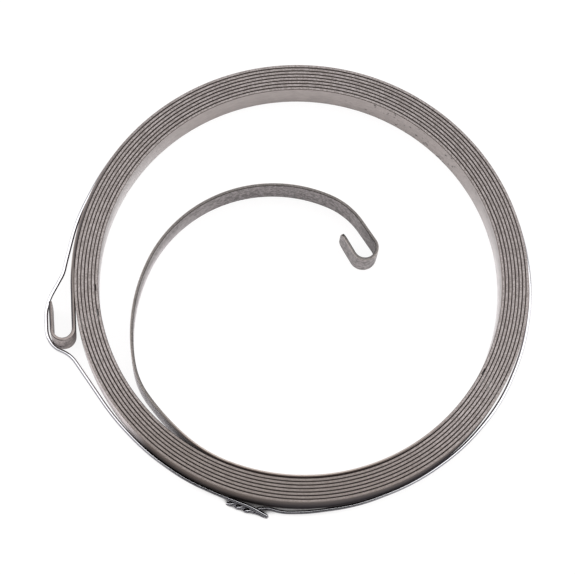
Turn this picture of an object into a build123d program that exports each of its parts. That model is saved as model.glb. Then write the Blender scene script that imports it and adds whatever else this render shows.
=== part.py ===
"""Recoil starter spring: a flat spiral of steel strip, lying flat, with its retaining wire.

The origin is on the coil's axis, at the level of the strip's lower edge, with +Z up.
Seen from above, the strip winds outward counter-clockwise. Angles are in degrees from +X.
"""

import os
from math import ceil, cos, radians, sin, tan

from build123d import *

# Strip
strip_width = 5.0
strip_thickness = 0.45
inner_end_corner = 1.0
outer_end_corner = 0.35

# Coil
coil_inner_radius = 29.05
layer_gap = 0.055
coil_start_angle = 257.4
coil_sweep = 2814.0

# Free arm, from the innermost turn to the inner hook: radius and turn of each right-hand bend
arm_bends = [
    (20.6, 20.1),
    (34.8, 13.7),
    (11.2, 23.6),
    (25.5, 36.7),
    (20.2, 88.6),
    (10.6, 33.05),
]

# Inner hook, which catches the notch in the starter pulley's hub
inner_leg_length = 3.5
inner_hook_radius = 1.585
inner_hook_turn = 183.7
inner_tip_length = 3.5

# Outer hook, which catches the post in the starter housing
outer_leg_length = 5.9
outer_hook_radius = 1.35
outer_hook_turn = 179.0
outer_tip_length = 4.25

# Retaining wire, its section drawn with flats
wire_diameter = 0.55
wire_flat_count = 6
wire_clearance = 0.05

# Wire from the tie to the coil: angle, stand-off from the coil and height of each bend
tie_exit = [(269.6, 0.04, 0.95), (274.4, 0.36, 1.0), (281.0, 0.12, 1.1)]

# Wire round the coil: stand-off and height, at even steps of the angle
ring_start_angle = 292.0
ring_step = 15.0
ring_bends = [
    (0.02, 1.35),
    (0.08, 1.75),
    (0.30, 2.05),
    (0.42, 2.25),
    (0.15, 2.50),
    (0.12, 2.65),
    (0.00, 2.45),
    (0.00, 2.35),
    (0.00, 2.30),
    (0.00, 2.30),
    (0.00, 2.30),
    (0.00, 2.30),
    (0.00, 2.30),
    (0.00, 2.30),
    (0.00, 2.30),
    (0.00, 2.30),
    (0.23, 2.10),
]

# Wire outside the outer hook: where it leaves the coil, passes the tip and wraps the bend
hook_approach = (185.5, 1.05, 1.5)
tip_overrun = 0.55
tip_stand_off = 0.28
tip_pass_height = 1.05
hook_wrap = [(186.0, 0.38, 0.85), (238.0, 0.14, 0.80), (299.0, 0.96, 0.75)]

# Wire from the hook back to the tie: angle, stand-off from the coil and height of each bend
hook_exit = [(213.3, 0.75, 0.65), (225.0, 0.30, 0.65), (237.0, 0.18, 0.85), (249.0, 0.18, 1.25)]
tie_approach = [(259.2, 0.16), (266.1, 0.50)]

# Tie: the wire turns down in a loop, and its two ends are twisted together
loop_angle = 270.05
loop_stand_off = 1.36
loop_return = (267.8, 0.98)
twist_start = (266.2, 0.86)
twist_end = (260.1, 0.46)
twist_pitch = 2.6
twist_gap = 0.04
twist_bend_count = 8
floor_clearance = 0.02

pitch = strip_thickness + layer_gap
start_radius = coil_inner_radius + strip_thickness / 2
coil_end_angle = (coil_start_angle + coil_sweep) % 360
twist_bend_radius = (wire_diameter + twist_gap) / 2 / cos(radians(180 / twist_bend_count))
twist_height = twist_bend_radius + wire_diameter / 2 + floor_clearance
upper_leg_height = twist_height + twist_bend_radius + wire_diameter + wire_clearance


def polar(radius, angle, height=0.0):
    """Point at a radius and an angle about the coil's axis."""
    return Vector(radius * cos(radians(angle)), radius * sin(radians(angle)), height)


def coil_outer_radius(angle):
    """Outer face of the outermost turn."""
    sweep_left = (coil_end_angle - angle) % 360
    return start_radius + strip_thickness / 2 + pitch * (coil_sweep - sweep_left) / 360


def beside_coil(angle, stand_off, height):
    """Point on the wire's centre line, at a stand-off from the coil."""
    radius = coil_outer_radius(angle) + wire_clearance + wire_diameter / 2 + stand_off
    return polar(radius, angle, height)


def arc_radii(points):
    """Radius at each bend of a route, so that its arc takes most of the shorter run."""
    radii = []
    for before, bend, after in zip(points, points[1:], points[2:]):
        run_in = bend - before
        run_out = after - bend
        half_turn = radians(run_in.get_angle(run_out) / 2)
        radii.append(0.45 * min(run_in.length, run_out.length) / tan(half_turn))
    return radii


# Centre line of the strip's lower edge: arm and inner hook, then coil and outer hook
release_point = polar(start_radius, coil_start_angle)
winding_way = polar(1, coil_start_angle + 90)
with BuildLine() as strip_line:
    here, way = release_point, -winding_way
    for bend_radius, bend_turn in arm_bends:
        arc = JernArc(here, way, bend_radius, -bend_turn)
        here, way = arc @ 1, arc % 1
    leg = Line(here, here + way * inner_leg_length)
    hook = JernArc(leg @ 1, leg % 1, inner_hook_radius + strip_thickness / 2, -inner_hook_turn)
    inner_tip = Line(hook @ 1, hook @ 1 + hook % 1 * inner_tip_length)

    here, way = release_point, winding_way
    for half_turn in range(ceil(coil_sweep / 180)):
        arc_radius = start_radius + pitch / 4 + pitch / 2 * half_turn
        arc = JernArc(here, way, arc_radius, min(180, coil_sweep - 180 * half_turn))
        here, way = arc @ 1, arc % 1
    leg = Line(here, here + way * outer_leg_length)
    hook = JernArc(leg @ 1, leg % 1, outer_hook_radius + strip_thickness / 2, -outer_hook_turn)
    outer_tip = Line(hook @ 1, hook @ 1 + hook % 1 * outer_tip_length)
    outer_hook_centre = hook.arc_center

# Spring strip
strip_wire = strip_line.wires()[0]
with BuildPart() as spring_strip:
    with BuildSketch(Plane(strip_wire @ 0, x_dir=(0, 0, 1), z_dir=strip_wire % 0)):
        with Locations((strip_width / 2, 0)):
            Rectangle(strip_width, strip_thickness)
    sweep(path=strip_wire)
    end_area = strip_width * strip_thickness
    ends = spring_strip.faces().filter_by(lambda face: abs(face.area - end_area) < 1e-6)
    inner_end, outer_end = ends.sort_by(lambda face: face.center().length)
    fillet(inner_end.edges().group_by(SortBy.LENGTH)[0], radius=inner_end_corner)
    fillet(outer_end.edges().group_by(SortBy.LENGTH)[0], radius=outer_end_corner)

# Route of the wire: the twisted pair, whose strands are half a twist apart
twist_from = beside_coil(*twist_start, twist_height)
twist_to = beside_coil(*twist_end, twist_height)
twist_way = (twist_to - twist_from).normalized()
twist_side = twist_way.cross(Vector(0, 0, 1))
bend_spacing = twist_pitch / twist_bend_count
bend_count = int((twist_to - twist_from).length / bend_spacing) + 1


def strand(phase):
    """Bends of one strand of the twisted pair, from the coil's end of it to the tip."""
    points = []
    for bend in range(bend_count):
        turn = radians(phase + 360 / twist_bend_count * bend)
        across = twist_side * cos(turn) + Vector(0, 0, 1) * sin(turn)
        points.append(twist_from + twist_way * bend_spacing * bend + across * twist_bend_radius)
    return points


# Route of the wire: once round the coil
ring_points = []
for bend, (stand_off, height) in enumerate(ring_bends):
    on_curve = beside_coil(ring_start_angle + ring_step * bend, stand_off, height)
    corner_factor = 1 / cos(radians(ring_step / 2))
    ring_points.append(Vector(on_curve.X * corner_factor, on_curve.Y * corner_factor, height))

# Route of the wire: outside the outer hook
tip_way = outer_tip % 1
tip_outward = Vector(0, 0, 1).cross(tip_way)
beside_strip = strip_thickness / 2 + wire_clearance + wire_diameter / 2
tip_pass = outer_tip @ 1 + tip_way * tip_overrun + tip_outward * (beside_strip + tip_stand_off)
hook_points = [beside_coil(*hook_approach), tip_pass + Vector(0, 0, tip_pass_height)]
for angle, stand_off, height in hook_wrap:
    wrap_radius = outer_hook_radius + strip_thickness / 2 + beside_strip + stand_off
    hook_points.append(outer_hook_centre + polar(wrap_radius, angle, height))

# Route of the wire: back to the tie, and down in its loop
tie_points = [beside_coil(*bend) for bend in hook_exit]
tie_points += [beside_coil(*bend, upper_leg_height) for bend in tie_approach]
tie_points.append(beside_coil(loop_angle, loop_stand_off, upper_leg_height))
tie_points.append(beside_coil(loop_angle, loop_stand_off, twist_height))
tie_points.append(beside_coil(*loop_return, twist_height))

route = strand(0)[::-1] + [beside_coil(*bend) for bend in tie_exit]
route += ring_points + hook_points + tie_points + strand(180)
with BuildLine() as wire_line:
    FilletPolyline(*route, radius=arc_radii(route))

# Retaining wire
wire_wire = wire_line.wires()[0]
with BuildPart() as retaining_wire:
    with BuildSketch(Plane(wire_wire @ 0, z_dir=wire_wire % 0)) as wire_section:
        RegularPolygon(wire_diameter / 2, wire_flat_count)
    sweep(path=wire_wire)

spring_strip.part.label = "spring_strip"
retaining_wire.part.label = "retaining_wire"

os.makedirs("parts", exist_ok=True)
export_step(spring_strip.part, "parts/spring_strip.step")
export_step(retaining_wire.part, "parts/retaining_wire.step")

section_volume = strip_wire.length * strip_width * strip_thickness
print("strip length", round(strip_wire.length, 1), "volume", spring_strip.part.volume, section_volume)
section_volume = wire_wire.length * wire_section.sketch.area
print("wire length", round(wire_wire.length, 1), "volume", retaining_wire.part.volume, section_volume)
print("wire radii", [round(radius, 2) for radius in arc_radii(route)])
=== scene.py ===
"""Looks of a recoil starter spring: a flat spiral of steel strip, held closed by a bright wire.

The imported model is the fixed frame. The strip and the wire are wound again here along the same
lines, with the strip's rounded edges, the wire's round section and their finishes. Lengths in
the tables are in millimetres and angles in degrees from +X; the scene itself is in metres.
"""

from math import ceil, cos, pi, radians, sin, tan

import bpy
from bpy.props import FloatProperty, FloatVectorProperty, PointerProperty
from mathutils import Matrix, Vector


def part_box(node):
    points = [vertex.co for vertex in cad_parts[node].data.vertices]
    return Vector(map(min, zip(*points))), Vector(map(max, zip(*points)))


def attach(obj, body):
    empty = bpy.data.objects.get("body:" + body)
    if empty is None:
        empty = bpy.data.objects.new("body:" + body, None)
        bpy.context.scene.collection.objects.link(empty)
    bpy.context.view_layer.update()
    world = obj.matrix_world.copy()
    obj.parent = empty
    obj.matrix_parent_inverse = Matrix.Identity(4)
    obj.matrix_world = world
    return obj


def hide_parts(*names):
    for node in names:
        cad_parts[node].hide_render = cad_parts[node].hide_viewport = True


bl_info = {
    "name": "Recoil Starter Spring",
    "version": (1, 0, 0),
    "blender": (4, 5, 0),
    "location": "View3D > Sidebar > Starter Spring",
    "description": "Winds a starter spring and its retaining wire, and sets them on a pale floor",
    "category": "Add Mesh",
}

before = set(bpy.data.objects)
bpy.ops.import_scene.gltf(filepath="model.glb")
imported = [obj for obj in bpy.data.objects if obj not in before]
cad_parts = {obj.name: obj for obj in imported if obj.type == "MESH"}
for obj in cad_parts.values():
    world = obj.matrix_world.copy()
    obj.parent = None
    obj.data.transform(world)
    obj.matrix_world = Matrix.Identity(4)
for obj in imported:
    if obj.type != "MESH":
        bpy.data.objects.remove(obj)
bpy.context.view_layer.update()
strip_low, strip_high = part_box("spring_strip")

MM = 0.001

# Kinds and settings of nodes that come back often
MATH, VECTOR_MATH, COMPARE = "ShaderNodeMath", "ShaderNodeVectorMath", "FunctionNodeCompare"
RANGE, MIX, NOISE = "ShaderNodeMapRange", "ShaderNodeMix", "ShaderNodeTexNoise"
SPLIT, COMBINE = "ShaderNodeSeparateXYZ", "ShaderNodeCombineXYZ"
ATTRIBUTE, STORE = "GeometryNodeInputNamedAttribute", "GeometryNodeStoreNamedAttribute"
POSITION, MOVE = "GeometryNodeInputPosition", "GeometryNodeSetPosition"
FILLET, CURVE_TO_MESH = "GeometryNodeFilletCurve", "GeometryNodeCurveToMesh"
SOFT = {"interpolation_type": "SMOOTHSTEP"}
PAINT = {"data_type": "RGBA"}

# Free arm, from the innermost turn to the inner hook: radius and turn of each right-hand bend
ARM_BENDS = [
    (20.6, 20.1),
    (34.8, 13.7),
    (11.2, 23.6),
    (25.5, 36.7),
    (20.2, 88.6),
    (10.6, 33.05),
]
INNER_HOOK = {"leg": 3.5, "radius": 1.585, "turn": 183.7, "tip": 3.5, "corner": 1.0}
OUTER_HOOK = {"leg": 5.9, "radius": 1.35, "turn": 179.0, "tip": 4.25, "corner": 0.35}

# Wire from the tie to the coil: angle, stand-off from the coil and height of each bend
TIE_EXIT = [(269.6, 0.06, 0.95), (273.6, 0.46, 1.0), (279.6, 0.34, 1.1)]

# Wire round the coil: stand-off and height, at even steps of the angle
RING_START = 292.0
RING_STEP = 15.0
RING_BENDS = [
    (0.02, 1.35),
    (0.02, 1.75),
    (0.10, 2.05),
    (0.22, 2.25),
    (0.12, 2.50),
    (0.12, 2.65),
    (0.00, 2.45),
    (0.02, 2.35),
    (0.02, 2.30),
    *[(0.00, 2.30)] * 7,
    (0.23, 2.10),
]

# Wire outside the outer hook: where it leaves the coil, passes the tip and wraps the bend
HOOK_APPROACH = [(183.4, 0.78, 1.65), (186.0, 0.98, 1.5)]
TIP_PASS = {"overrun": 0.55, "stand_off": 0.28, "height": 1.05}
HOOK_WRAP = [(186.0, 0.38, 0.85), (238.0, 0.14, 0.80), (299.0, 0.96, 0.75)]

# Wire from the hook back to the tie: angle, stand-off from the coil and height of each bend
HOOK_EXIT = [(213.3, 0.75, 0.65), (225.0, 0.30, 0.65), (237.0, 0.18, 0.85), (249.0, 0.18, 1.25)]
TIE_APPROACH = [(259.2, 0.16), (266.1, 0.50)]

# Tie: the wire turns down in a loop, and its two ends are twisted together
TIE_LOOP = (270.05, 1.36)
LOOP_RETURN = (267.8, 0.98)
TWIST_START = (266.2, 0.86)
TWIST_END = (260.1, 0.46)
TWIST_BENDS = 8
TWIST_PHASE = 90.0
FLOOR_CLEARANCE = 0.02

# How finely the strip is drawn: degrees of coil and of hook and millimetres of arm for a section,
# points of a rounded edge, and the degrees above which an edge of the mesh looks sharp
COIL_STEP = 1.8
HOOK_STEP = 6.0
ARM_STEP = 0.45
EDGE_STEPS = 3
STRIP_CREASE = 14
# Sections at shares of a leg and of a tip, and at shares of the corner's radius from the tip's end
LEG_SHARES = [0.25, 0.5, 0.75, 1.0]
TIP_SHARES = [0.25, 0.5]
CORNER_SHARES = [1.0, 0.7, 0.45, 0.27, 0.14, 0.05]
# Marks a point of the strip's line that isn't on the coil
OFF_COIL = -1.0

# How finely the wire is drawn: sides of its section, points of a bend, and the same degrees
WIRE_SIDES = 16
WIRE_BEND_STEPS = 14
WIRE_CREASE = 60

# Strays of the turns: the noise's cells in a radian round the axis, and its drift in a radian of
# the sweep, so that no two turns match
STRAY_SCALE = 2.1
STRAY_DRIFT = 1.43

# Where each look of the strip begins and where it is full, in millimetres of one measure. The
# measure along starts at the inner tip, past_arm where the free arm meets the coil, and to_go
# counts down to the outer tip.
STRIP_BANDS = {
    "low_down": ("height", 4.7, 0.6),
    "high_up": ("height", 2.0, 5.0),
    "bright_foot": ("height", 3.6, 0.4),
    "far_side": ("y", 6.0, 25.0),
    "speckled": ("x", -2.0, 10.0),
    "left_run": ("along", 34.0, 52.0),
    "before_root": ("past_arm", -16.0, -4.0),
    "coil_shaded": ("past_arm", -11.0, -2.0),
    "on_arm": ("past_arm", 12.0, -10.0),
    "root": ("past_arm", 45.0, 15.0),
    # Bands of the outermost turn's outer face, and of the painted shade on it beside the tie
    "outermost": ("to_go", 236.0, 228.0),
    "beyond_shade": ("to_go", 196.0, 203.0),
    "shaded_stretch": ("to_go", 203.0, 196.0),
    "past_tie": ("to_go", 182.0, 172.0),
    "fading": ("to_go", 116.0, 148.0),
    "outer_end": ("to_go", 55.0, 20.0),
    "on_hook": ("to_go", 22.0, 14.0),
    "bend_end": ("to_go", 10.0, 8.0),
    "bend_start": ("to_go", 3.5, 5.5),
}
# Blots of old oil: how far along the innermost turn each lies, and half its length
BLOTS = [42.9, 151.8, 155.5]
BLOT_HALF_LENGTH = 0.5

# The same bands for the wire
WIRE_BANDS = {
    "first_end": ("along", 34.0, 16.0),
    "last_end": ("to_go", 34.0, 18.0),
    "left_part": ("x", 18.0, 8.0),
}

# Floor: half its width in metres, and its level in millimetres
FLOOR_REACH = 1.5
FLOOR_LEVEL = -0.01
# Its tone to the camera, and how strongly it glows to the camera and in the metal's reflections
FLOOR_SHADE = (0.15, 0.14, 0.14, 1.0)
CAMERA_GLOW = 0.9
METAL_GLOW = 0.25
# The dark slit beside the tie: how far off metal shades it, the open share of the sky where it
# is dark and where it is clear, and the Y where it begins and is full, in millimetres
SLIT_REACH = 1.6
SLIT_SKY = (0.32, 0.60)
SLIT_BEGINS = (-31.5, -32.5)

# Light: the world's strength, and the place, size and power of each softbox
WORLD_STRENGTH = 0.45
SOFTBOXES = {
    "top_softbox": ((0, 0.1, 0.7), (1.8, 0.6), 5.0),
    "left_softbox": ((-0.8, 0.05, 0.35), (0.6, 0.6), 2.4),
    "right_softbox": ((0.8, 0.05, 0.35), (0.6, 0.6), 2.4),
    "back_softbox": ((0, 0.85, 0.3), (0.6, 0.4), 1.6),
}
SENSOR_WIDTH = 36
CLIP_START = 0.01


def linear(hex_colour):
    """Linear RGBA of an sRGB hex colour."""
    channels = []
    for start in (1, 3, 5):
        value = int(hex_colour[start : start + 2], 16) / 255
        channels.append(value / 12.92 if value <= 0.04045 else ((value + 0.055) / 1.055) ** 2.4)
    return (*channels, 1.0)


def add_node(tree, kind, inputs=(), **settings):
    """Adds a node with its settings; an input takes a value, a socket or another node."""
    node = tree.nodes.new(kind)
    for name, value in settings.items():
        setattr(node, name, value)
    usable = [socket for socket in node.inputs if socket.enabled]
    for key in inputs if isinstance(inputs, dict) else range(len(inputs)):
        socket = node.inputs[key] if isinstance(key, str) else usable[key]
        value = inputs[key]
        if isinstance(value, bpy.types.Node):
            value = next(output for output in value.outputs if output.enabled)
        if isinstance(value, bpy.types.NodeSocket):
            tree.links.new(value, socket)
        else:
            socket.default_value = value
    return node


class SPRING_PG_strip(bpy.types.PropertyGroup):
    """Sizes of the strip and of its coil."""

    width: FloatProperty(
        name="Width",
        description="Width of the strip, which is the coil's height",
        default=strip_high.z - strip_low.z,
        unit="LENGTH",
        precision=5,
    )
    thickness: FloatProperty(
        name="Thickness",
        description="Thickness of the strip",
        default=0.45 * MM,
        unit="LENGTH",
        precision=5,
    )
    edge_radius: FloatProperty(
        name="Edge Radius",
        description="Rounding of the strip's long edges",
        default=0.11 * MM,
        unit="LENGTH",
        precision=5,
    )
    crown: FloatProperty(
        name="Crown",
        description="How far each face swells at mid-height, where the turns touch",
        default=0.024 * MM,
        unit="LENGTH",
        precision=5,
    )
    inner_radius: FloatProperty(
        name="Inner Radius",
        description="Radius of the coil's inner face where the free arm leaves it",
        default=29.05 * MM,
        unit="LENGTH",
        precision=5,
    )
    pitch: FloatProperty(
        name="Pitch",
        description="Distance from one turn to the next",
        default=0.505 * MM,
        unit="LENGTH",
        precision=5,
    )
    start_angle: FloatProperty(
        name="Start Angle",
        description="Angle at which the innermost turn begins",
        default=radians(257.4),
        subtype="ANGLE",
    )
    sweep: FloatProperty(
        name="Sweep",
        description="Angle through which the strip is wound",
        default=radians(2814.0),
        subtype="ANGLE",
    )
    waviness: FloatProperty(
        name="Waviness",
        description="How far a turn strays from its even place",
        default=0.022 * MM,
        unit="LENGTH",
        precision=5,
    )


class SPRING_PG_wire(bpy.types.PropertyGroup):
    """Sizes of the retaining wire and its tie."""

    diameter: FloatProperty(
        name="Diameter",
        description="Diameter of the wire",
        default=0.55 * MM,
        unit="LENGTH",
        precision=5,
    )
    clearance: FloatProperty(
        name="Clearance",
        description="Room between the wire and what it lies against",
        default=0.035 * MM,
        unit="LENGTH",
        precision=5,
    )
    twist_pitch: FloatProperty(
        name="Twist Pitch",
        description="Length of one whole twist of the tie",
        default=2.6 * MM,
        unit="LENGTH",
        precision=5,
    )
    twist_gap: FloatProperty(
        name="Twist Gap",
        description="Room between the two twisted strands",
        default=0.04 * MM,
        unit="LENGTH",
        precision=5,
    )


class SPRING_PG_finish(bpy.types.PropertyGroup):
    """Colours of the strip and the wire."""

    face: FloatVectorProperty(
        name="Rolled Face",
        description="Colour of the strip's rolled faces",
        subtype="COLOR",
        size=4,
        min=0,
        max=1,
        default=linear("#E2DFE0"),
    )
    edge: FloatVectorProperty(
        name="Slit Edge",
        description="Colour of the strip's long edges",
        subtype="COLOR",
        size=4,
        min=0,
        max=1,
        default=linear("#989190"),
    )
    # Painted shade of the slits between turns, on the outer shoulders
    shoulder: FloatVectorProperty(
        name="Edge Shoulder Shade",
        description="Colour of the rounded shoulders on the outer side of the long edges",
        subtype="COLOR",
        size=4,
        min=0,
        max=1,
        default=linear("#8A817D"),
    )
    wire: FloatVectorProperty(
        name="Bright Wire",
        description="Colour of the retaining wire",
        subtype="COLOR",
        size=4,
        min=0,
        max=1,
        default=linear("#E2E2E6"),
    )


class SPRING_PG_stage(bpy.types.PropertyGroup):
    """The camera, the floor and the light."""

    camera_place: FloatVectorProperty(
        name="Camera Place",
        description="Where the camera stands",
        subtype="TRANSLATION",
        unit="LENGTH",
        size=3,
        default=(-0.0018389, -0.0920237, 0.3056498),
    )
    camera_elevation: FloatProperty(
        name="Camera Elevation",
        description="Angle from which the camera looks down, above the horizon",
        default=radians(73.289),
        subtype="ANGLE",
    )
    camera_roll: FloatProperty(
        name="Camera Roll",
        description="Turn of the camera about its own line of sight",
        default=radians(8.476),
        subtype="ANGLE",
    )
    camera_lens: FloatProperty(
        name="Camera Lens",
        description="Focal length of the camera, for a sensor 36 mm wide",
        default=135.58,
        unit="CAMERA",
    )
    floor: FloatVectorProperty(
        name="Floor",
        description="Colour of the floor",
        subtype="COLOR",
        size=4,
        min=0,
        max=1,
        default=linear("#F6F3F2"),
    )


def polar(radius, angle, height=0.0):
    """Point at a radius and an angle about the coil's axis."""
    return Vector((radius * cos(radians(angle)), radius * sin(radians(angle)), height))


class StripLine:
    """Points along a leg, bend or tip, each marked as off the coil."""

    def __init__(self, place, heading):
        self.place = place
        self.heading = heading
        self.points = []

    def run(self, length, stations):
        """Goes straight on, with points at the given shares of the length."""
        way = Vector((cos(self.heading), sin(self.heading), 0))
        for share in stations:
            self.points.append((self.place + way * length * share, OFF_COIL))
        self.place = self.place + way * length

    def bend(self, radius, turn, step):
        """Goes round a bend, to the right where the turn is negative."""
        side = 1 if turn > 0 else -1
        aside = Vector((-sin(self.heading), cos(self.heading), 0))
        centre = self.place + side * radius * aside
        count = max(2, ceil(abs(turn) / step))
        for index in range(1, count + 1):
            heading = self.heading + turn * index / count
            aside = Vector((-sin(heading), cos(heading), 0))
            self.points.append((centre - side * radius * aside, OFF_COIL))
        self.heading += turn
        self.place = self.points[-1][0]


def hook_line(line, hook, thickness):
    """Adds a leg, a bend and a tip; the tip has close points where its corners are rounded."""
    radius = hook["radius"] * MM + thickness / 2
    line.run(hook["leg"] * MM, LEG_SHARES)
    line.bend(radius, -radians(hook["turn"]), radians(HOOK_STEP))
    near_end = [1 - hook["corner"] * back / hook["tip"] for back in CORNER_SHARES]
    line.run(hook["tip"] * MM, TIP_SHARES + near_end + [1.0])


def coil_place(sizes, sweep):
    """Point of the coil's centre line: half turns of growing radius, about two centres by turns."""
    start_radius = sizes.inner_radius + sizes.thickness / 2
    half_turns = min(int(sweep / pi + 1e-9), ceil(sizes.sweep / pi) - 1)
    radius = start_radius + sizes.pitch * (0.25 + 0.5 * half_turns)
    offset = -sizes.pitch / 4 * (1 if half_turns % 2 == 0 else -1)
    start = Vector((cos(sizes.start_angle), sin(sizes.start_angle), 0))
    angle = sizes.start_angle + sweep
    return start * offset + radius * Vector((cos(angle), sin(angle), 0))


def strip_points(sizes):
    """All points of the strip's centre line, each with its sweep, and the outer hook's line."""
    arm = StripLine(coil_place(sizes, 0.0), sizes.start_angle - pi / 2)
    for radius, turn in ARM_BENDS:
        arm.bend(radius * MM, -radians(turn), ARM_STEP / radius)
    hook_line(arm, INNER_HOOK, sizes.thickness)

    end_place = coil_place(sizes, sizes.sweep)
    hook = StripLine(end_place, sizes.start_angle + sizes.sweep + pi / 2)
    hook_line(hook, OUTER_HOOK, sizes.thickness)

    count = ceil(sizes.sweep / radians(COIL_STEP))
    coil = [(Vector((0, 0, 0)), sizes.sweep * index / count) for index in range(count + 1)]
    return arm.points[::-1] + coil + hook.points, hook


def line_object(name, points, **attributes):
    """A mesh of points and the edges that join them, with a float attribute for each keyword."""
    mesh = bpy.data.meshes.new(name)
    mesh.from_pydata(points, [(index, index + 1) for index in range(len(points) - 1)], [])
    for key, values in attributes.items():
        mesh.attributes.new(key, "FLOAT", "POINT").data.foreach_set("value", values)
    line = bpy.data.objects.new(name, mesh)
    bpy.context.scene.collection.objects.link(line)
    return line


def new_tree(name, sockets):
    """A geometry tree with named inputs, and its input sockets."""
    tree = bpy.data.node_groups.new(name, "GeometryNodeTree")
    tree.interface.new_socket("Geometry", in_out="INPUT", socket_type="NodeSocketGeometry")
    for label, kind in sockets.items():
        tree.interface.new_socket(label, in_out="INPUT", socket_type=kind)
    tree.interface.new_socket("Geometry", in_out="OUTPUT", socket_type="NodeSocketGeometry")
    return tree, add_node(tree, "NodeGroupInput").outputs


def mark_length(tree, line):
    """Keeps on a curve how far each of its points is from the start and from the end."""
    along = add_node(tree, "GeometryNodeSplineParameter").outputs["Length"]
    total = add_node(tree, "GeometryNodeSplineLength").outputs["Length"]
    to_go = add_node(tree, MATH, [total, along], operation="SUBTRACT")
    line = add_node(tree, STORE, {"Geometry": line, "Name": "along", "Value": along})
    return add_node(tree, STORE, {"Geometry": line, "Name": "to_go", "Value": to_go})


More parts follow.
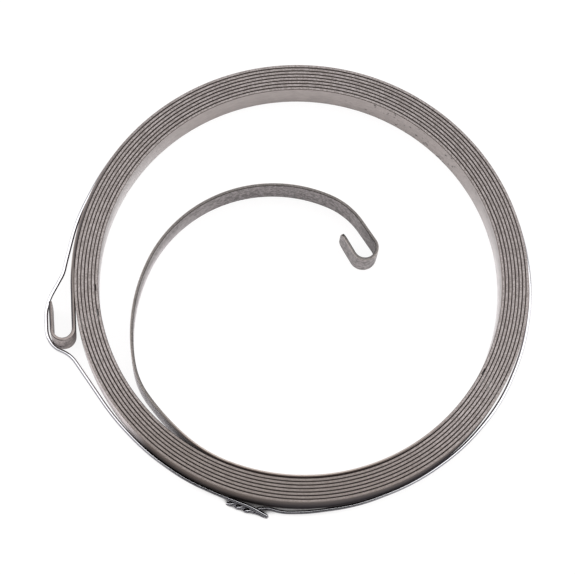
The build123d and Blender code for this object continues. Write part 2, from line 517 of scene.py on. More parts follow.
def strip_tree():
    """Winds the coil by its rule, then carries the strip's section along the whole line."""
    sizes = ["Width", "Thickness", "Edge Radius", "Crown", "Inner Radius", "Pitch", "Start Angle"]
    sizes += ["Last Half Turn", "Waviness", "Inner Corner", "Outer Corner"]
    sockets = {label: "NodeSocketFloat" for label in sizes}
    tree, value = new_tree("Wind Strip", {**sockets, "Material": "NodeSocketMaterial"})

    # Half turns of growing radius, about two centres by turns; 1e-5 outweighs rounding
    sweep = add_node(tree, ATTRIBUTE, {"Name": "sweep"}, data_type="FLOAT")
    half_turn = add_node(tree, MATH, [sweep, pi], operation="DIVIDE")
    half_turn = add_node(tree, MATH, [half_turn, 1e-5], operation="ADD")
    half_turn = add_node(tree, MATH, [half_turn], operation="FLOOR")
    half_turn = add_node(tree, MATH, [half_turn, value["Last Half Turn"]], operation="MINIMUM")
    odd = add_node(tree, MATH, [half_turn, 2.0], operation="MODULO")
    side = add_node(tree, MATH, [odd, 0.5, -0.25], operation="MULTIPLY_ADD")
    offset = add_node(tree, MATH, [side, value["Pitch"]], operation="MULTIPLY")
    start_radius = add_node(
        tree, MATH, [value["Thickness"], 0.5, value["Inner Radius"]], operation="MULTIPLY_ADD"
    )
    growth = add_node(tree, MATH, [half_turn, 0.5, 0.25], operation="MULTIPLY_ADD")
    radius = add_node(tree, MATH, [growth, value["Pitch"], start_radius], operation="MULTIPLY_ADD")
    angle = add_node(tree, MATH, [value["Start Angle"], sweep], operation="ADD")
    cosine = add_node(tree, MATH, [angle], operation="COSINE")
    sine = add_node(tree, MATH, [angle], operation="SINE")

    # Each turn strays a little from its even place
    lap = add_node(tree, MATH, [sweep, STRAY_DRIFT], operation="MULTIPLY")
    around = add_node(tree, COMBINE, [cosine, sine, lap])
    pattern = {"Vector": around, "Scale": STRAY_SCALE, "Detail": 2.0}
    stray = add_node(tree, NOISE, pattern).outputs[0]
    stray = add_node(tree, MATH, [stray, 2.0, -1.0], operation="MULTIPLY_ADD")
    radius = add_node(tree, MATH, [stray, value["Waviness"], radius], operation="MULTIPLY_ADD")

    start_cosine = add_node(tree, MATH, [value["Start Angle"]], operation="COSINE")
    start_sine = add_node(tree, MATH, [value["Start Angle"]], operation="SINE")
    centre_x = add_node(tree, MATH, [offset, start_cosine], operation="MULTIPLY")
    centre_y = add_node(tree, MATH, [offset, start_sine], operation="MULTIPLY")
    wound_x = add_node(tree, MATH, [radius, cosine, centre_x], operation="MULTIPLY_ADD")
    wound_y = add_node(tree, MATH, [radius, sine, centre_y], operation="MULTIPLY_ADD")
    wound = add_node(tree, COMBINE, [wound_x, wound_y])
    on_coil = add_node(
        tree, COMPARE, [sweep, OFF_COIL / 2], data_type="FLOAT", operation="GREATER_THAN"
    )
    line = add_node(tree, MOVE, [value["Geometry"], on_coil, wound])
    line = add_node(tree, "GeometryNodeMeshToCurve", [line])
    line = add_node(tree, "GeometryNodeSetCurveNormal", [line], mode="Z_UP")
    line = mark_length(tree, line)

    # Section: a rectangle with rounded corners, whose faces swell a little at mid-height
    section = add_node(
        tree, "GeometryNodeCurvePrimitiveQuadrilateral", [value["Thickness"], value["Width"]]
    )
    section = add_node(
        tree,
        FILLET,
        {"Curve": section, "Radius": value["Edge Radius"], "Count": EDGE_STEPS},
        mode="POLY",
    )
    section = add_node(tree, "GeometryNodeSubdivideCurve", [section, 1])
    drawn = add_node(tree, SPLIT, [add_node(tree, POSITION)]).outputs
    half_thickness = add_node(tree, MATH, [value["Thickness"], 0.5], operation="MULTIPLY")
    across = add_node(tree, MATH, [drawn["X"], half_thickness], operation="DIVIDE")
    section = add_node(tree, STORE, {"Geometry": section, "Name": "across", "Value": across})
    from_middle = add_node(tree, MATH, [drawn["Y"], value["Width"]], operation="DIVIDE")
    from_middle = add_node(tree, MATH, [from_middle], operation="ABSOLUTE")
    swell = add_node(tree, RANGE, [from_middle, 0.25, 0.0], interpolation_type="LINEAR")
    outward = add_node(tree, MATH, [drawn["X"]], operation="SIGN")
    swell = add_node(tree, MATH, [swell, outward], operation="MULTIPLY")
    swell = add_node(tree, MATH, [swell, value["Crown"]], operation="MULTIPLY")
    swell = add_node(tree, COMBINE, [swell])
    section = add_node(tree, MOVE, {"Geometry": section, "Offset": swell})
    carried = {"Curve": line, "Profile Curve": section, "Fill Caps": True}
    strip = add_node(tree, CURVE_TO_MESH, carried)

    # Both ends are rounded: the strip narrows along an arc there
    half_width = add_node(tree, MATH, [value["Width"], 0.5], operation="MULTIPLY")
    narrowed = half_width
    for name, corner in (("along", value["Inner Corner"]), ("to_go", value["Outer Corner"])):
        left = add_node(tree, ATTRIBUTE, {"Name": name}, data_type="FLOAT")
        share = add_node(tree, MATH, [left, corner], operation="DIVIDE")
        share = add_node(tree, MATH, [1.0, share], operation="SUBTRACT", use_clamp=True)
        square = add_node(tree, MATH, [share, share], operation="MULTIPLY")
        square = add_node(tree, MATH, [1.0, square], operation="SUBTRACT")
        arc = add_node(tree, MATH, [square], operation="SQRT")
        lost = add_node(tree, MATH, [1.0, arc], operation="SUBTRACT")
        lost = add_node(tree, MATH, [lost, corner], operation="MULTIPLY")
        narrowed = add_node(tree, MATH, [narrowed, lost], operation="SUBTRACT")
    place = add_node(tree, SPLIT, [add_node(tree, POSITION)]).outputs
    share = add_node(tree, MATH, [narrowed, half_width], operation="DIVIDE")
    raised = add_node(tree, MATH, [place["Z"], share, half_width], operation="MULTIPLY_ADD")
    raised = add_node(tree, COMBINE, [place["X"], place["Y"], raised])
    strip = add_node(tree, MOVE, {"Geometry": strip, "Position": raised})
    finish_piece(tree, strip, value["Material"], STRIP_CREASE)
    return tree


def wire_tree():
    """Rounds the bends of the wire's route and carries its round section along it."""
    sockets = {"Diameter": "NodeSocketFloat", "Steps": "NodeSocketInt"}
    tree, value = new_tree("Wind Wire", {**sockets, "Material": "NodeSocketMaterial"})
    bend = add_node(tree, ATTRIBUTE, {"Name": "bend_radius"}, data_type="FLOAT")
    line = add_node(tree, "GeometryNodeMeshToCurve", [value["Geometry"]])
    rounded = {"Curve": line, "Radius": bend, "Count": value["Steps"]}
    line = add_node(tree, FILLET, rounded, mode="POLY")
    line = mark_length(tree, line)
    radius = add_node(tree, MATH, [value["Diameter"], 0.5], operation="MULTIPLY")
    circle = {"Resolution": WIRE_SIDES, "Radius": radius}
    section = add_node(tree, "GeometryNodeCurvePrimitiveCircle", circle)
    carried = {"Curve": line, "Profile Curve": section, "Fill Caps": True}
    wire = add_node(tree, CURVE_TO_MESH, carried)

    # How far each point of the wire's skin faces the coil's axis, from -1 to 1
    place = add_node(tree, POSITION)
    toward_axis = add_node(tree, VECTOR_MATH, [place, (-1, -1, 0)], operation="MULTIPLY")
    toward_axis = add_node(tree, VECTOR_MATH, [toward_axis], operation="NORMALIZE")
    normal = add_node(tree, "GeometryNodeInputNormal")
    inward = add_node(tree, VECTOR_MATH, [normal, toward_axis], operation="DOT_PRODUCT")
    wire = add_node(tree, STORE, {"Geometry": wire, "Name": "inward", "Value": inward})
    finish_piece(tree, wire, value["Material"], WIRE_CREASE)
    return tree


def finish_piece(tree, piece, material, sharp_angle):
    """Ends a tree: shades the piece smooth up to an angle in degrees, and gives its material."""
    crease = add_node(tree, "GeometryNodeInputMeshEdgeAngle")
    gentle = add_node(
        tree, COMPARE, [crease, radians(sharp_angle)], data_type="FLOAT", operation="LESS_THAN"
    )
    smoothed = {"Geometry": piece, "Shade Smooth": gentle}
    piece = add_node(tree, "GeometryNodeSetShadeSmooth", smoothed, domain="EDGE")
    piece = add_node(tree, "GeometryNodeRealizeInstances", [piece])
    piece = add_node(tree, "GeometryNodeSetMaterial", {"Geometry": piece, "Material": material})
    add_node(tree, "NodeGroupOutput", [piece])


def grow(name, line, tree, inputs):
    """Runs a tree on a line and keeps the result as a plain mesh object."""
    modifier = line.modifiers.new(tree.name, "NODES")
    modifier.node_group = tree
    sockets = [item for item in tree.interface.items_tree if item.in_out == "INPUT"]
    keys = {socket.name: socket.identifier for socket in sockets}
    for label, value in inputs.items():
        modifier[keys[label]] = value
    bpy.context.view_layer.update()
    evaluated = line.evaluated_get(bpy.context.evaluated_depsgraph_get())
    mesh = bpy.data.meshes.new_from_object(evaluated)
    mesh.name = name
    piece = bpy.data.objects.new(name, mesh)
    bpy.context.scene.collection.objects.link(piece)
    bpy.data.objects.remove(line)
    return piece


def new_material(name):
    """A material with no nodes yet, and its tree."""
    material = bpy.data.materials.new(name)
    material.use_nodes = True
    material.node_tree.nodes.clear()
    return material, material.node_tree


def strip_steel(colours, arm_length):
    """Cold-rolled spring steel: satin faces, and duller slit edges that glint in grains."""
    material, tree = new_material("cold_rolled_spring_steel")
    place = add_node(tree, "ShaderNodeTexCoord").outputs["Object"]
    x, y, height = add_node(tree, SPLIT, [place]).outputs
    along = add_node(tree, "ShaderNodeAttribute", attribute_name="along").outputs["Fac"]
    to_go = add_node(tree, "ShaderNodeAttribute", attribute_name="to_go").outputs["Fac"]
    # Across the strip: -1 on the face toward the axis, 1 on the face away from it
    across = add_node(tree, "ShaderNodeAttribute", attribute_name="across").outputs["Fac"]
    aside = add_node(tree, MATH, [across], operation="ABSOLUTE")
    outward = add_node(tree, RANGE, [across, 0.9, 1.0], **SOFT)

    measures = {
        "x": (x, 0.0),
        "y": (y, 0.0),
        "height": (height, 0.0),
        "along": (along, 0.0),
        "past_arm": (along, arm_length),
        "to_go": (to_go, 0.0),
    }
    band = {}
    for name, (measure, begins, full) in STRIP_BANDS.items():
        value, origin = measures[measure]
        limits = [origin + begins * MM, origin + full * MM]
        band[name] = add_node(tree, RANGE, [value, *limits], **SOFT)

    # Rolling lines run along the strip, about 0.1 mm apart, drawn at 0.2 mm to show
    stretched = add_node(tree, MATH, [along, 0.12], operation="MULTIPLY")
    rolled = add_node(tree, COMBINE, [stretched, height])
    lines = add_node(tree, NOISE, {"Vector": rolled, "Scale": 1 / (0.22 * MM), "Detail": 3.0})
    # Uneven oxide: patches of 1 to 3 mm, and blotches under 1 mm where the strip was handled
    patches = add_node(
        tree, NOISE, {"Vector": place, "Scale": 1 / (1.6 * MM), "Detail": 4.0, "Roughness": 0.6}
    )
    blotches = add_node(
        tree, NOISE, {"Vector": place, "Scale": 1 / (0.5 * MM), "Detail": 4.0, "Roughness": 0.7}
    )
    # Slit edges glint in grains of about 0.2 mm
    grains = add_node(tree, NOISE, {"Vector": place, "Scale": 1 / (0.22 * MM), "Detail": 1.0})

    # Coil faces: a painted reflection of the floor makes them brighter toward it, and painted shade
    # makes them plainer and greyer on the far side
    near_face = add_node(tree, MIX, [band["low_down"], linear("#AAA6A6"), colours.face], **PAINT)
    patchy = add_node(tree, RANGE, [patches, 0.35, 0.65], **SOFT)
    far_face = add_node(tree, MIX, [patchy, linear("#9C9492"), linear("#AAA2A0")], **PAINT)
    face = add_node(tree, MIX, [band["far_side"], near_face, far_face], **PAINT)
    # A few dark specks on the far inner wall
    specks = add_node(tree, NOISE, {"Vector": place, "Scale": 1 / (0.7 * MM), "Detail": 1.0})
    specks = add_node(tree, RANGE, [specks, 0.65, 0.70], **SOFT)
    speckled = add_node(tree, MATH, [band["speckled"], band["far_side"]], operation="MULTIPLY")
    specks = add_node(tree, MATH, [specks, speckled], operation="MULTIPLY")
    face = add_node(tree, MIX, [specks, face, linear("#4A4443")], **PAINT)

    # Outer face of the outermost turn: painted shade darkens it beside the tie, most low down, and
    # it is pale beyond the shade
    shaded_stretch = add_node(tree, MATH, [band["shaded_stretch"], band["fading"]], operation="MULTIPLY")
    wall_shade = add_node(tree, MIX, [band["high_up"], linear("#3E3938"), linear("#756B66")], **PAINT)
    past_tie_shade = add_node(tree, MIX, [band["high_up"], linear("#464346"), linear("#6C6563")], **PAINT)
    wall_shade = add_node(tree, MIX, [band["past_tie"], wall_shade, past_tie_shade], **PAINT)
    outer_face = add_node(tree, MIX, [shaded_stretch, linear("#968E8E"), wall_shade], **PAINT)
    outer_face = add_node(tree, MIX, [band["beyond_shade"], outer_face, linear("#E0D8D8")], **PAINT)
    outermost = add_node(tree, MATH, [band["outermost"], outward], operation="MULTIPLY")
    face = add_node(tree, MIX, [outermost, face, outer_face], **PAINT)

    # Free arm and inner hook: mottled, with a painted reflection of the floor brightening the lower
    # edge on the coil's left side
    blotchy = add_node(tree, RANGE, [blotches, 0.40, 0.60], **SOFT)
    arm_face = add_node(tree, MIX, [blotchy, linear("#585354"), linear("#968F90")], **PAINT)
    foot = add_node(tree, MATH, [band["bright_foot"], band["left_run"]], operation="MULTIPLY")
    arm_face = add_node(tree, MIX, [foot, arm_face, linear("#D6D1D4")], **PAINT)
    # Its back is painted bright as a reflection of the floor until it nears the coil, and then
    # painted shade makes it as dark as the outer turn
    arm_back = add_node(tree, MIX, [band["coil_shaded"], linear("#F8F5F8"), linear("#665C56")], **PAINT)
    on_back = add_node(tree, MATH, [outward, band["left_run"]], operation="MULTIPLY")
    arm_face = add_node(tree, MIX, [on_back, arm_face, arm_back], **PAINT)
    face = add_node(tree, MIX, [band["on_arm"], face, arm_face], **PAINT)

    hook_face = add_node(tree, MIX, [blotchy, linear("#776E6C"), linear("#A99F9D")], **PAINT)
    face = add_node(tree, MIX, [band["on_hook"], face, hook_face], **PAINT)
    scored = add_node(tree, RANGE, [lines, 0.3, 0.7, 0.3, 0.0], **SOFT)
    face = add_node(tree, MIX, [scored, face, linear("#5C5655")], **PAINT)

    # Slit edges: darker on the near side, which is painted shade, and darker on the arm and the
    # hooks
    grainy = add_node(tree, RANGE, [grains, 0.42, 0.58], **SOFT)
    crown = add_node(tree, MIX, [grainy, linear("#7B7472"), colours.edge], **PAINT)
    near_side_shade = add_node(tree, RANGE, [y, -15 * MM, -30 * MM, 0.0, 0.65], **SOFT)
    crown = add_node(tree, MIX, [near_side_shade, crown, linear("#6E6560")], **PAINT)
    dull_crown = add_node(tree, MIX, [grainy, linear("#5F5B59"), linear("#706B69")], **PAINT)
    # The outer hook is dark along its left side, and paler round its bend. Its leg lies the other
    # way round than its tip, so facing is -1 on the left of both and 1 on the right of both.
    on_leg = add_node(tree, RANGE, [to_go, 6.0 * MM, 7.5 * MM])
    on_leg = add_node(tree, MATH, [on_leg, band["on_hook"]], operation="MULTIPLY")
    facing = add_node(tree, MATH, [on_leg, -2.0, 1.0], operation="MULTIPLY_ADD")
    facing = add_node(tree, MATH, [facing, across], operation="MULTIPLY")
    turned = add_node(tree, RANGE, [facing, -0.2, 0.2], **SOFT)
    hook_side = add_node(tree, RANGE, [facing, -0.5, 0.2], **SOFT)
    hook_crown = add_node(tree, MIX, [hook_side, linear("#37373D"), linear("#6C6461")], **PAINT)
    on_bend = add_node(tree, MATH, [band["bend_start"], band["bend_end"]], operation="MULTIPLY")
    hook_crown = add_node(tree, MIX, [on_bend, hook_crown, linear("#8A817E")], **PAINT)
    crown = add_node(tree, MIX, [band["on_arm"], crown, dull_crown], **PAINT)
    crown = add_node(tree, MIX, [band["outer_end"], crown, hook_crown], **PAINT)
    # On the arm and the outer hook one shoulder is dark and the other catches the light
    free_shoulder = add_node(tree, MIX, [turned, linear("#3C3836"), linear("#A8A09C")], **PAINT)
    free = add_node(tree, MATH, [band["on_arm"], band["on_hook"]], operation="MAXIMUM")
    # On the coil the shoulders are painted shade for the slits between turns, darker on the side
    # toward the axis
    shoulder = add_node(tree, MIX, [turned, linear("#5A524F"), colours.shoulder], **PAINT)
    shoulder = add_node(tree, MIX, [free, shoulder, free_shoulder], **PAINT)
    shouldered = add_node(tree, RANGE, [aside, 0.40, 0.85], **SOFT)
    edge = add_node(tree, MIX, [shouldered, crown, shoulder], **PAINT)
    # Three dark blots of old oil lie in the innermost gap
    blots = 0.0
    for past_arm in BLOTS:
        compared = [along, arm_length + past_arm * MM, BLOT_HALF_LENGTH * MM]
        blot = add_node(tree, MATH, compared, operation="COMPARE")
        blots = add_node(tree, MATH, [blots, blot], operation="MAXIMUM")
    in_gap = add_node(tree, RANGE, [across, -0.1, 0.5], **SOFT)
    blots = add_node(tree, MATH, [blots, in_gap], operation="MULTIPLY")
    edge = add_node(tree, MIX, [blots, edge, linear("#2C2725")], **PAINT)
    # Beside the arm's root the innermost edge is painted dark toward the next turn, as shade in the
    # narrowing gap
    root = add_node(tree, MATH, [band["root"], band["before_root"]], operation="MULTIPLY")
    toward_coil = add_node(tree, RANGE, [across, -0.8, 0.3], **SOFT)
    root_shaded_edge = add_node(tree, MIX, [toward_coil, linear("#C4B8B0"), linear("#3E3532")], **PAINT)
    edge = add_node(tree, MIX, [root, edge, root_shaded_edge], **PAINT)

    on_face = add_node(tree, RANGE, [aside, 0.97, 1.0], **SOFT)
    colour = add_node(tree, MIX, [on_face, edge, face], **PAINT)
    # Where shade is painted dark on the arm's back and the outer turn, the surface is made
    # non-metallic, so it doesn't mirror the floor
    arm_unmirrored = add_node(tree, MATH, [band["coil_shaded"], band["on_arm"]], operation="MULTIPLY")
    coil_unmirrored = add_node(tree, MATH, [shaded_stretch, outermost], operation="MULTIPLY")
    unmirrored = add_node(tree, MATH, [arm_unmirrored, outward], operation="MULTIPLY")
    unmirrored = add_node(tree, MATH, [unmirrored, coil_unmirrored], operation="MAXIMUM")
    metallic = add_node(tree, RANGE, [unmirrored, 0.0, 1.0, 1.0, 0.0])
    relief = {"Height": lines, "Strength": 0.25, "Distance": 0.004 * MM}
    bumps = add_node(tree, "ShaderNodeBump", relief)
    gloss = add_node(tree, RANGE, [patches, 0.3, 0.7, 0.34, 0.46], **SOFT)
    shader = add_node(
        tree,
        "ShaderNodeBsdfPrincipled",
        {
            "Base Color": colour,
            "Metallic": metallic,
            "Roughness": gloss,
            "Specular IOR Level": 0.0,
            "Normal": bumps,
        },
    )
    add_node(tree, "ShaderNodeOutputMaterial", [shader])
    return material


def bright_wire(colours):
    """Bright drawn steel wire: mirrors its surroundings, and near the tie is rougher and painted
    dark, with painted highlight lines.
    """
    material, tree = new_material("bright_drawn_wire")
    place = add_node(tree, "ShaderNodeTexCoord").outputs["Object"]
    inward = add_node(tree, "ShaderNodeAttribute", attribute_name="inward").outputs["Fac"]
    measures = {
        "x": add_node(tree, SPLIT, [place]).outputs["X"],
        "along": add_node(tree, "ShaderNodeAttribute", attribute_name="along").outputs["Fac"],
        "to_go": add_node(tree, "ShaderNodeAttribute", attribute_name="to_go").outputs["Fac"],
    }
    band = {}
    for name, (measure, begins, full) in WIRE_BANDS.items():
        limits = [begins * MM, full * MM]
        band[name] = add_node(tree, RANGE, [measures[measure], *limits], **SOFT)

    # Near the tie it is rougher and painted dark as shade, wholly over 16 mm of one end and 18 mm
    # of the other
    tie_ends = add_node(tree, MATH, [band["first_end"], band["last_end"]], operation="MAXIMUM")
    # Two thin painted highlights stay bright there, one on top and one low on its outer side
    on_top = add_node(tree, MATH, [inward, 0.0, 0.08], operation="COMPARE")
    low_line = add_node(tree, MATH, [inward, -0.65, 0.09], operation="COMPARE")
    bright = add_node(tree, MATH, [on_top, low_line], operation="MAXIMUM")
    shaded_off_highlights = add_node(tree, MATH, [1.0, bright], operation="SUBTRACT")
    shaded_off_highlights = add_node(tree, MATH, [shaded_off_highlights, tie_ends], operation="MULTIPLY")
    colour = add_node(tree, MIX, [shaded_off_highlights, colours.wire, linear("#38363A")], **PAINT)
    # Its outer side is painted slightly grey, as shade
    outer_side_shade = add_node(tree, RANGE, [inward, -0.2, -0.6], **SOFT)
    outer_side_shade = add_node(tree, MATH, [outer_side_shade, shaded_off_highlights], operation="SUBTRACT", use_clamp=True)
    colour = add_node(tree, MIX, [outer_side_shade, colour, linear("#B0B0B6")], **PAINT)
    # Painted shade darkens the side that faces the coil, but for the right-hand part
    coil_side_shade = add_node(tree, RANGE, [inward, 0.28, 0.55], **SOFT)
    coil_side_shade = add_node(tree, MATH, [coil_side_shade, band["left_part"]], operation="MULTIPLY")
    colour = add_node(tree, MIX, [coil_side_shade, colour, linear("#3A383C")], **PAINT)
    # Drawing lines 0.05 mm apart, drawn at 0.15 mm to show
    marks = add_node(tree, NOISE, {"Vector": place, "Scale": 1 / (0.15 * MM), "Detail": 2.0})
    gloss = add_node(tree, RANGE, [marks, 0.3, 0.7, 0.11, 0.17], **SOFT)
    gloss = add_node(tree, RANGE, [tie_ends, 0.0, 1.0, gloss, 0.2])
    metal = {"Base Color": colour, "Metallic": 1.0, "Roughness": gloss}
    shader = add_node(tree, "ShaderNodeBsdfPrincipled", metal)
    add_node(tree, "ShaderNodeOutputMaterial", [shader])
    return material


class SPRING_OT_strip(bpy.types.Operator):
    """Wind the spring strip with its free arm and two hooks"""

    bl_idname = "starter_spring.strip"
    bl_label = "Wind Spring Strip"

    def execute(self, context):
        sizes = context.scene.spring_strip
        points, _ = strip_points(sizes)
        places = [place for place, _ in points]
        sweeps = [sweep for _, sweep in points]
        arm = places[: next(index for index, sweep in enumerate(sweeps) if sweep > OFF_COIL)]
        arm_length = sum((after - before).length for before, after in zip(arm, arm[1:]))
        line = line_object("strip_line", places, sweep=sweeps)
        strip = grow(
            "strip_dressed",
            line,
            strip_tree(),
            {
                "Width": sizes.width,
                "Thickness": sizes.thickness,
                "Edge Radius": sizes.edge_radius,
                "Crown": sizes.crown,
                "Inner Radius": sizes.inner_radius,
                "Pitch": sizes.pitch,
                "Start Angle": sizes.start_angle,
                "Last Half Turn": float(ceil(sizes.sweep / pi) - 1),
                "Waviness": sizes.waviness,
                "Inner Corner": INNER_HOOK["corner"] * MM,
                "Outer Corner": OUTER_HOOK["corner"] * MM,
                "Material": strip_steel(context.scene.spring_finish, arm_length),
            },
        )
        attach(strip, "root")
        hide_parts("spring_strip")
        return {"FINISHED"}


def wire_route(strip, wire):
    """Corners of the wire's route, from one end of the twist round the coil to the other."""
    end_angle = (strip.start_angle + strip.sweep) * 180 / pi
    reach = wire.clearance + wire.diameter / 2

    def beside_coil(angle, stand_off, height):
        sweep_left = radians((end_angle - angle) % 360)
        wound = strip.pitch * (strip.sweep - sweep_left) / (2 * pi)
        coil = strip.inner_radius + strip.thickness + wound
        return polar(coil + reach + stand_off * MM, angle, height * MM)

    # Tie: its lower strands just clear the floor, and its upper leg passes over them
    bend_radius = (wire.diameter + wire.twist_gap) / 2 / cos(pi / TWIST_BENDS)
    low = (bend_radius + wire.diameter / 2) / MM + FLOOR_CLEARANCE
    high = low + (bend_radius + wire.diameter + wire.clearance) / MM

    twist_from = beside_coil(*TWIST_START, low)
    twist_to = beside_coil(*TWIST_END, low)
    way = (twist_to - twist_from).normalized()
    side = way.cross(Vector((0, 0, 1)))
    spacing = wire.twist_pitch / TWIST_BENDS
    count = int((twist_to - twist_from).length / spacing) + 1

    def strand(phase):
        corners = []
        for index in range(count):
            turn = phase + 2 * pi / TWIST_BENDS * index
            across = side * cos(turn) + Vector((0, 0, 1)) * sin(turn)
            corners.append(twist_from + way * spacing * index + across * bend_radius)
        return corners

    # Round the coil: corners lie outside the circle that their arcs follow
    ring = []
    for index, (stand_off, height) in enumerate(RING_BENDS):
        corner = beside_coil(RING_START + RING_STEP * index, stand_off, height)
        factor = 1 / cos(radians(RING_STEP / 2))
        ring.append(Vector((corner.x * factor, corner.y * factor, corner.z)))

    # Past the outer hook's tip and round its bend
    _, hook = strip_points(strip)
    tip_way = Vector((cos(hook.heading), sin(hook.heading), 0))
    tip_outward = Vector((0, 0, 1)).cross(tip_way)
    beside_strip = strip.thickness / 2 + reach
    passing = hook.place + tip_way * TIP_PASS["overrun"] * MM
    passing += tip_outward * (beside_strip + TIP_PASS["stand_off"] * MM)
    passing.z = TIP_PASS["height"] * MM
    bend_centre = hook.place - tip_way * OUTER_HOOK["tip"] * MM
    bend_centre -= tip_outward * (OUTER_HOOK["radius"] * MM + strip.thickness / 2)
    around_hook = [beside_coil(*bend) for bend in HOOK_APPROACH] + [passing]
    for angle, stand_off, height in HOOK_WRAP:
        radius = OUTER_HOOK["radius"] * MM + strip.thickness / 2 + beside_strip + stand_off * MM
        around_hook.append(bend_centre + polar(radius, angle, height * MM))

    # Back to the tie, and down in its loop
    back = [beside_coil(*bend) for bend in HOOK_EXIT]
    back += [beside_coil(*bend, high) for bend in TIE_APPROACH]
    back += [beside_coil(*TIE_LOOP, high), beside_coil(*TIE_LOOP, low)]
    back.append(beside_coil(*LOOP_RETURN, low))
    tie = [beside_coil(*bend) for bend in TIE_EXIT]
    first, second = strand(radians(TWIST_PHASE)), strand(radians(TWIST_PHASE) + pi)
    return first[::-1] + tie + ring + around_hook + back + second


def bend_radii(points):
    """Radius at each corner of a route, so that its arc takes most of the shorter run."""
    radii = [0.0]
    for before, corner, after in zip(points, points[1:], points[2:]):
        half_turn = (corner - before).angle(after - corner) / 2
        shorter = min((corner - before).length, (after - corner).length)
        radii.append(0.45 * shorter / tan(half_turn))
    return radii + [0.0]


class SPRING_OT_wire(bpy.types.Operator):
    """Lay the retaining wire round the coil and the outer hook, and twist its ends"""

    bl_idname = "starter_spring.wire"
    bl_label = "Lay Retaining Wire"

    def execute(self, context):
        sizes = context.scene.spring_wire
        route = wire_route(context.scene.spring_strip, sizes)
        line = line_object("wire_line", route, bend_radius=bend_radii(route))
        wire = grow(
            "wire_dressed",
            line,
            wire_tree(),
            {
                "Diameter": sizes.diameter,
                "Steps": WIRE_BEND_STEPS,
                "Material": bright_wire(context.scene.spring_finish),
            },
        )
        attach(wire, "root")
        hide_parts("retaining_wire")
        return {"FINISHED"}


def white_paper(colour):
    """White paper: it glows to the camera, with a faint shadow, and metal sees it nearly white."""
    material, tree = new_material("white_paper_floor")
    seen = add_node(tree, "ShaderNodeLightPath").outputs
    tone = add_node(tree, MIX, [seen["Is Camera Ray"], colour, FLOOR_SHADE], **PAINT)
    matt = add_node(tree, "ShaderNodeBsdfDiffuse", [tone])
    # Beside the tie the floor is dark in the slit between the coil and the wire
    near_metal = {"Distance": SLIT_REACH * MM}
    open_sky = add_node(tree, "ShaderNodeAmbientOcclusion", near_metal, samples=16).outputs["AO"]
    open_sky = add_node(tree, RANGE, [open_sky, *SLIT_SKY], **SOFT)
    place = add_node(tree, "ShaderNodeTexCoord").outputs["Object"]
    y = add_node(tree, SPLIT, [place]).outputs["Y"]
    beside_tie = add_node(tree, RANGE, [y, *(limit * MM for limit in SLIT_BEGINS)])
    open_sky = add_node(tree, MIX, [beside_tie, 1.0, open_sky])
    glow = add_node(tree, MATH, [open_sky, CAMERA_GLOW], operation="MULTIPLY")
    glow = add_node(tree, MATH, [seen["Is Camera Ray"], glow], operation="MULTIPLY")
    glow = add_node(tree, MATH, [seen["Is Glossy Ray"], METAL_GLOW, glow], operation="MULTIPLY_ADD")
    light = add_node(tree, "ShaderNodeEmission", [(1, 1, 1, 1), glow])
    look = add_node(tree, "ShaderNodeAddShader", [matt, light])
    add_node(tree, "ShaderNodeOutputMaterial", [look])
    return material


def add_lamp(name, place, size, power):
    """A rectangular softbox turned toward the coil's centre, which the camera doesn't see."""
    lamp = bpy.data.lights.new(name, "AREA")
    lamp.shape = "RECTANGLE"
    lamp.size, lamp.size_y = size
    lamp.energy = power
    holder = bpy.data.objects.new(name, lamp)
    holder.location = place
    holder.rotation_euler = (Vector() - Vector(place)).to_track_quat("-Z", "Y").to_euler()
    holder.visible_camera = False
    bpy.context.scene.collection.objects.link(holder)


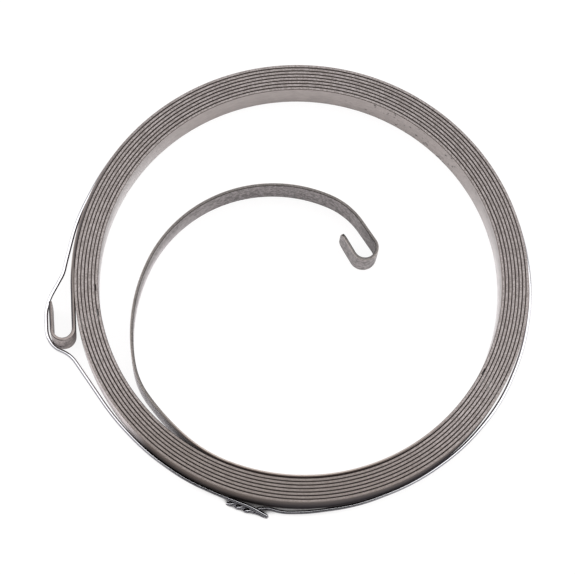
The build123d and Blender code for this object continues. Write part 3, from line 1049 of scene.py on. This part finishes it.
class SPRING_OT_stage(bpy.types.Operator):
    """Set out the floor, the camera and the soft light"""

    bl_idname = "starter_spring.stage"
    bl_label = "Set Stage"

    def execute(self, context):
        stage = context.scene.spring_stage
        scene = context.scene
        scene.view_settings.view_transform = "Standard"

        mesh = bpy.data.meshes.new("floor")
        signs = ((-1, -1), (1, -1), (1, 1), (-1, 1))
        corners = [(x * FLOOR_REACH, y * FLOOR_REACH, FLOOR_LEVEL * MM) for x, y in signs]
        mesh.from_pydata(corners, [], [(0, 1, 2, 3)])
        floor = bpy.data.objects.new("floor", mesh)
        scene.collection.objects.link(floor)
        mesh.materials.append(white_paper(stage.floor))

        world = bpy.data.worlds.new("studio")
        scene.world = world
        world.use_nodes = True
        background = world.node_tree.nodes["Background"].inputs
        background["Color"].default_value = (1.0, 1.0, 1.0, 1.0)
        background["Strength"].default_value = WORLD_STRENGTH
        for name, (place, size, power) in SOFTBOXES.items():
            add_lamp(name, place, size, power)

        camera = bpy.data.cameras.new("camera")
        camera.sensor_width = SENSOR_WIDTH
        camera.lens = stage.camera_lens
        camera.clip_start = CLIP_START
        holder = bpy.data.objects.new("camera", camera)
        tilt = Matrix.Rotation(pi / 2 - stage.camera_elevation, 4, "X")
        roll = Matrix.Rotation(stage.camera_roll, 4, "Z")
        holder.matrix_world = Matrix.Translation(stage.camera_place) @ tilt @ roll
        scene.collection.objects.link(holder)
        scene.camera = holder
        return {"FINISHED"}


class SPRING_PT_panel(bpy.types.Panel):
    """Sizes, colours and steps of the starter spring"""

    bl_idname = "SPRING_PT_panel"
    bl_label = "Starter Spring"
    bl_space_type = "VIEW_3D"
    bl_region_type = "UI"
    bl_category = "Starter Spring"

    def draw(self, context):
        for group, operator in (
            (context.scene.spring_strip, SPRING_OT_strip),
            (context.scene.spring_wire, SPRING_OT_wire),
            (context.scene.spring_finish, None),
            (context.scene.spring_stage, SPRING_OT_stage),
        ):
            box = self.layout.box()
            for name in group.__annotations__:
                box.prop(group, name)
            if operator:
                box.operator(operator.bl_idname)


CLASSES = (
    SPRING_PG_strip,
    SPRING_PG_wire,
    SPRING_PG_finish,
    SPRING_PG_stage,
    SPRING_OT_strip,
    SPRING_OT_wire,
    SPRING_OT_stage,
    SPRING_PT_panel,
)


def register():
    """Registers the classes and gives every scene the spring's settings."""
    for cls in CLASSES:
        bpy.utils.register_class(cls)
    bpy.types.Scene.spring_strip = PointerProperty(type=SPRING_PG_strip)
    bpy.types.Scene.spring_wire = PointerProperty(type=SPRING_PG_wire)
    bpy.types.Scene.spring_finish = PointerProperty(type=SPRING_PG_finish)
    bpy.types.Scene.spring_stage = PointerProperty(type=SPRING_PG_stage)


def unregister():
    """Takes the settings and the classes away again."""
    del bpy.types.Scene.spring_stage
    del bpy.types.Scene.spring_finish
    del bpy.types.Scene.spring_wire
    del bpy.types.Scene.spring_strip
    for cls in reversed(CLASSES):
        bpy.utils.unregister_class(cls)


def main():
    """Sets the stage and builds both pieces."""
    register()
    bpy.ops.starter_spring.stage()
    bpy.ops.starter_spring.strip()
    bpy.ops.starter_spring.wire()


if __name__ == "__main__":
    main()
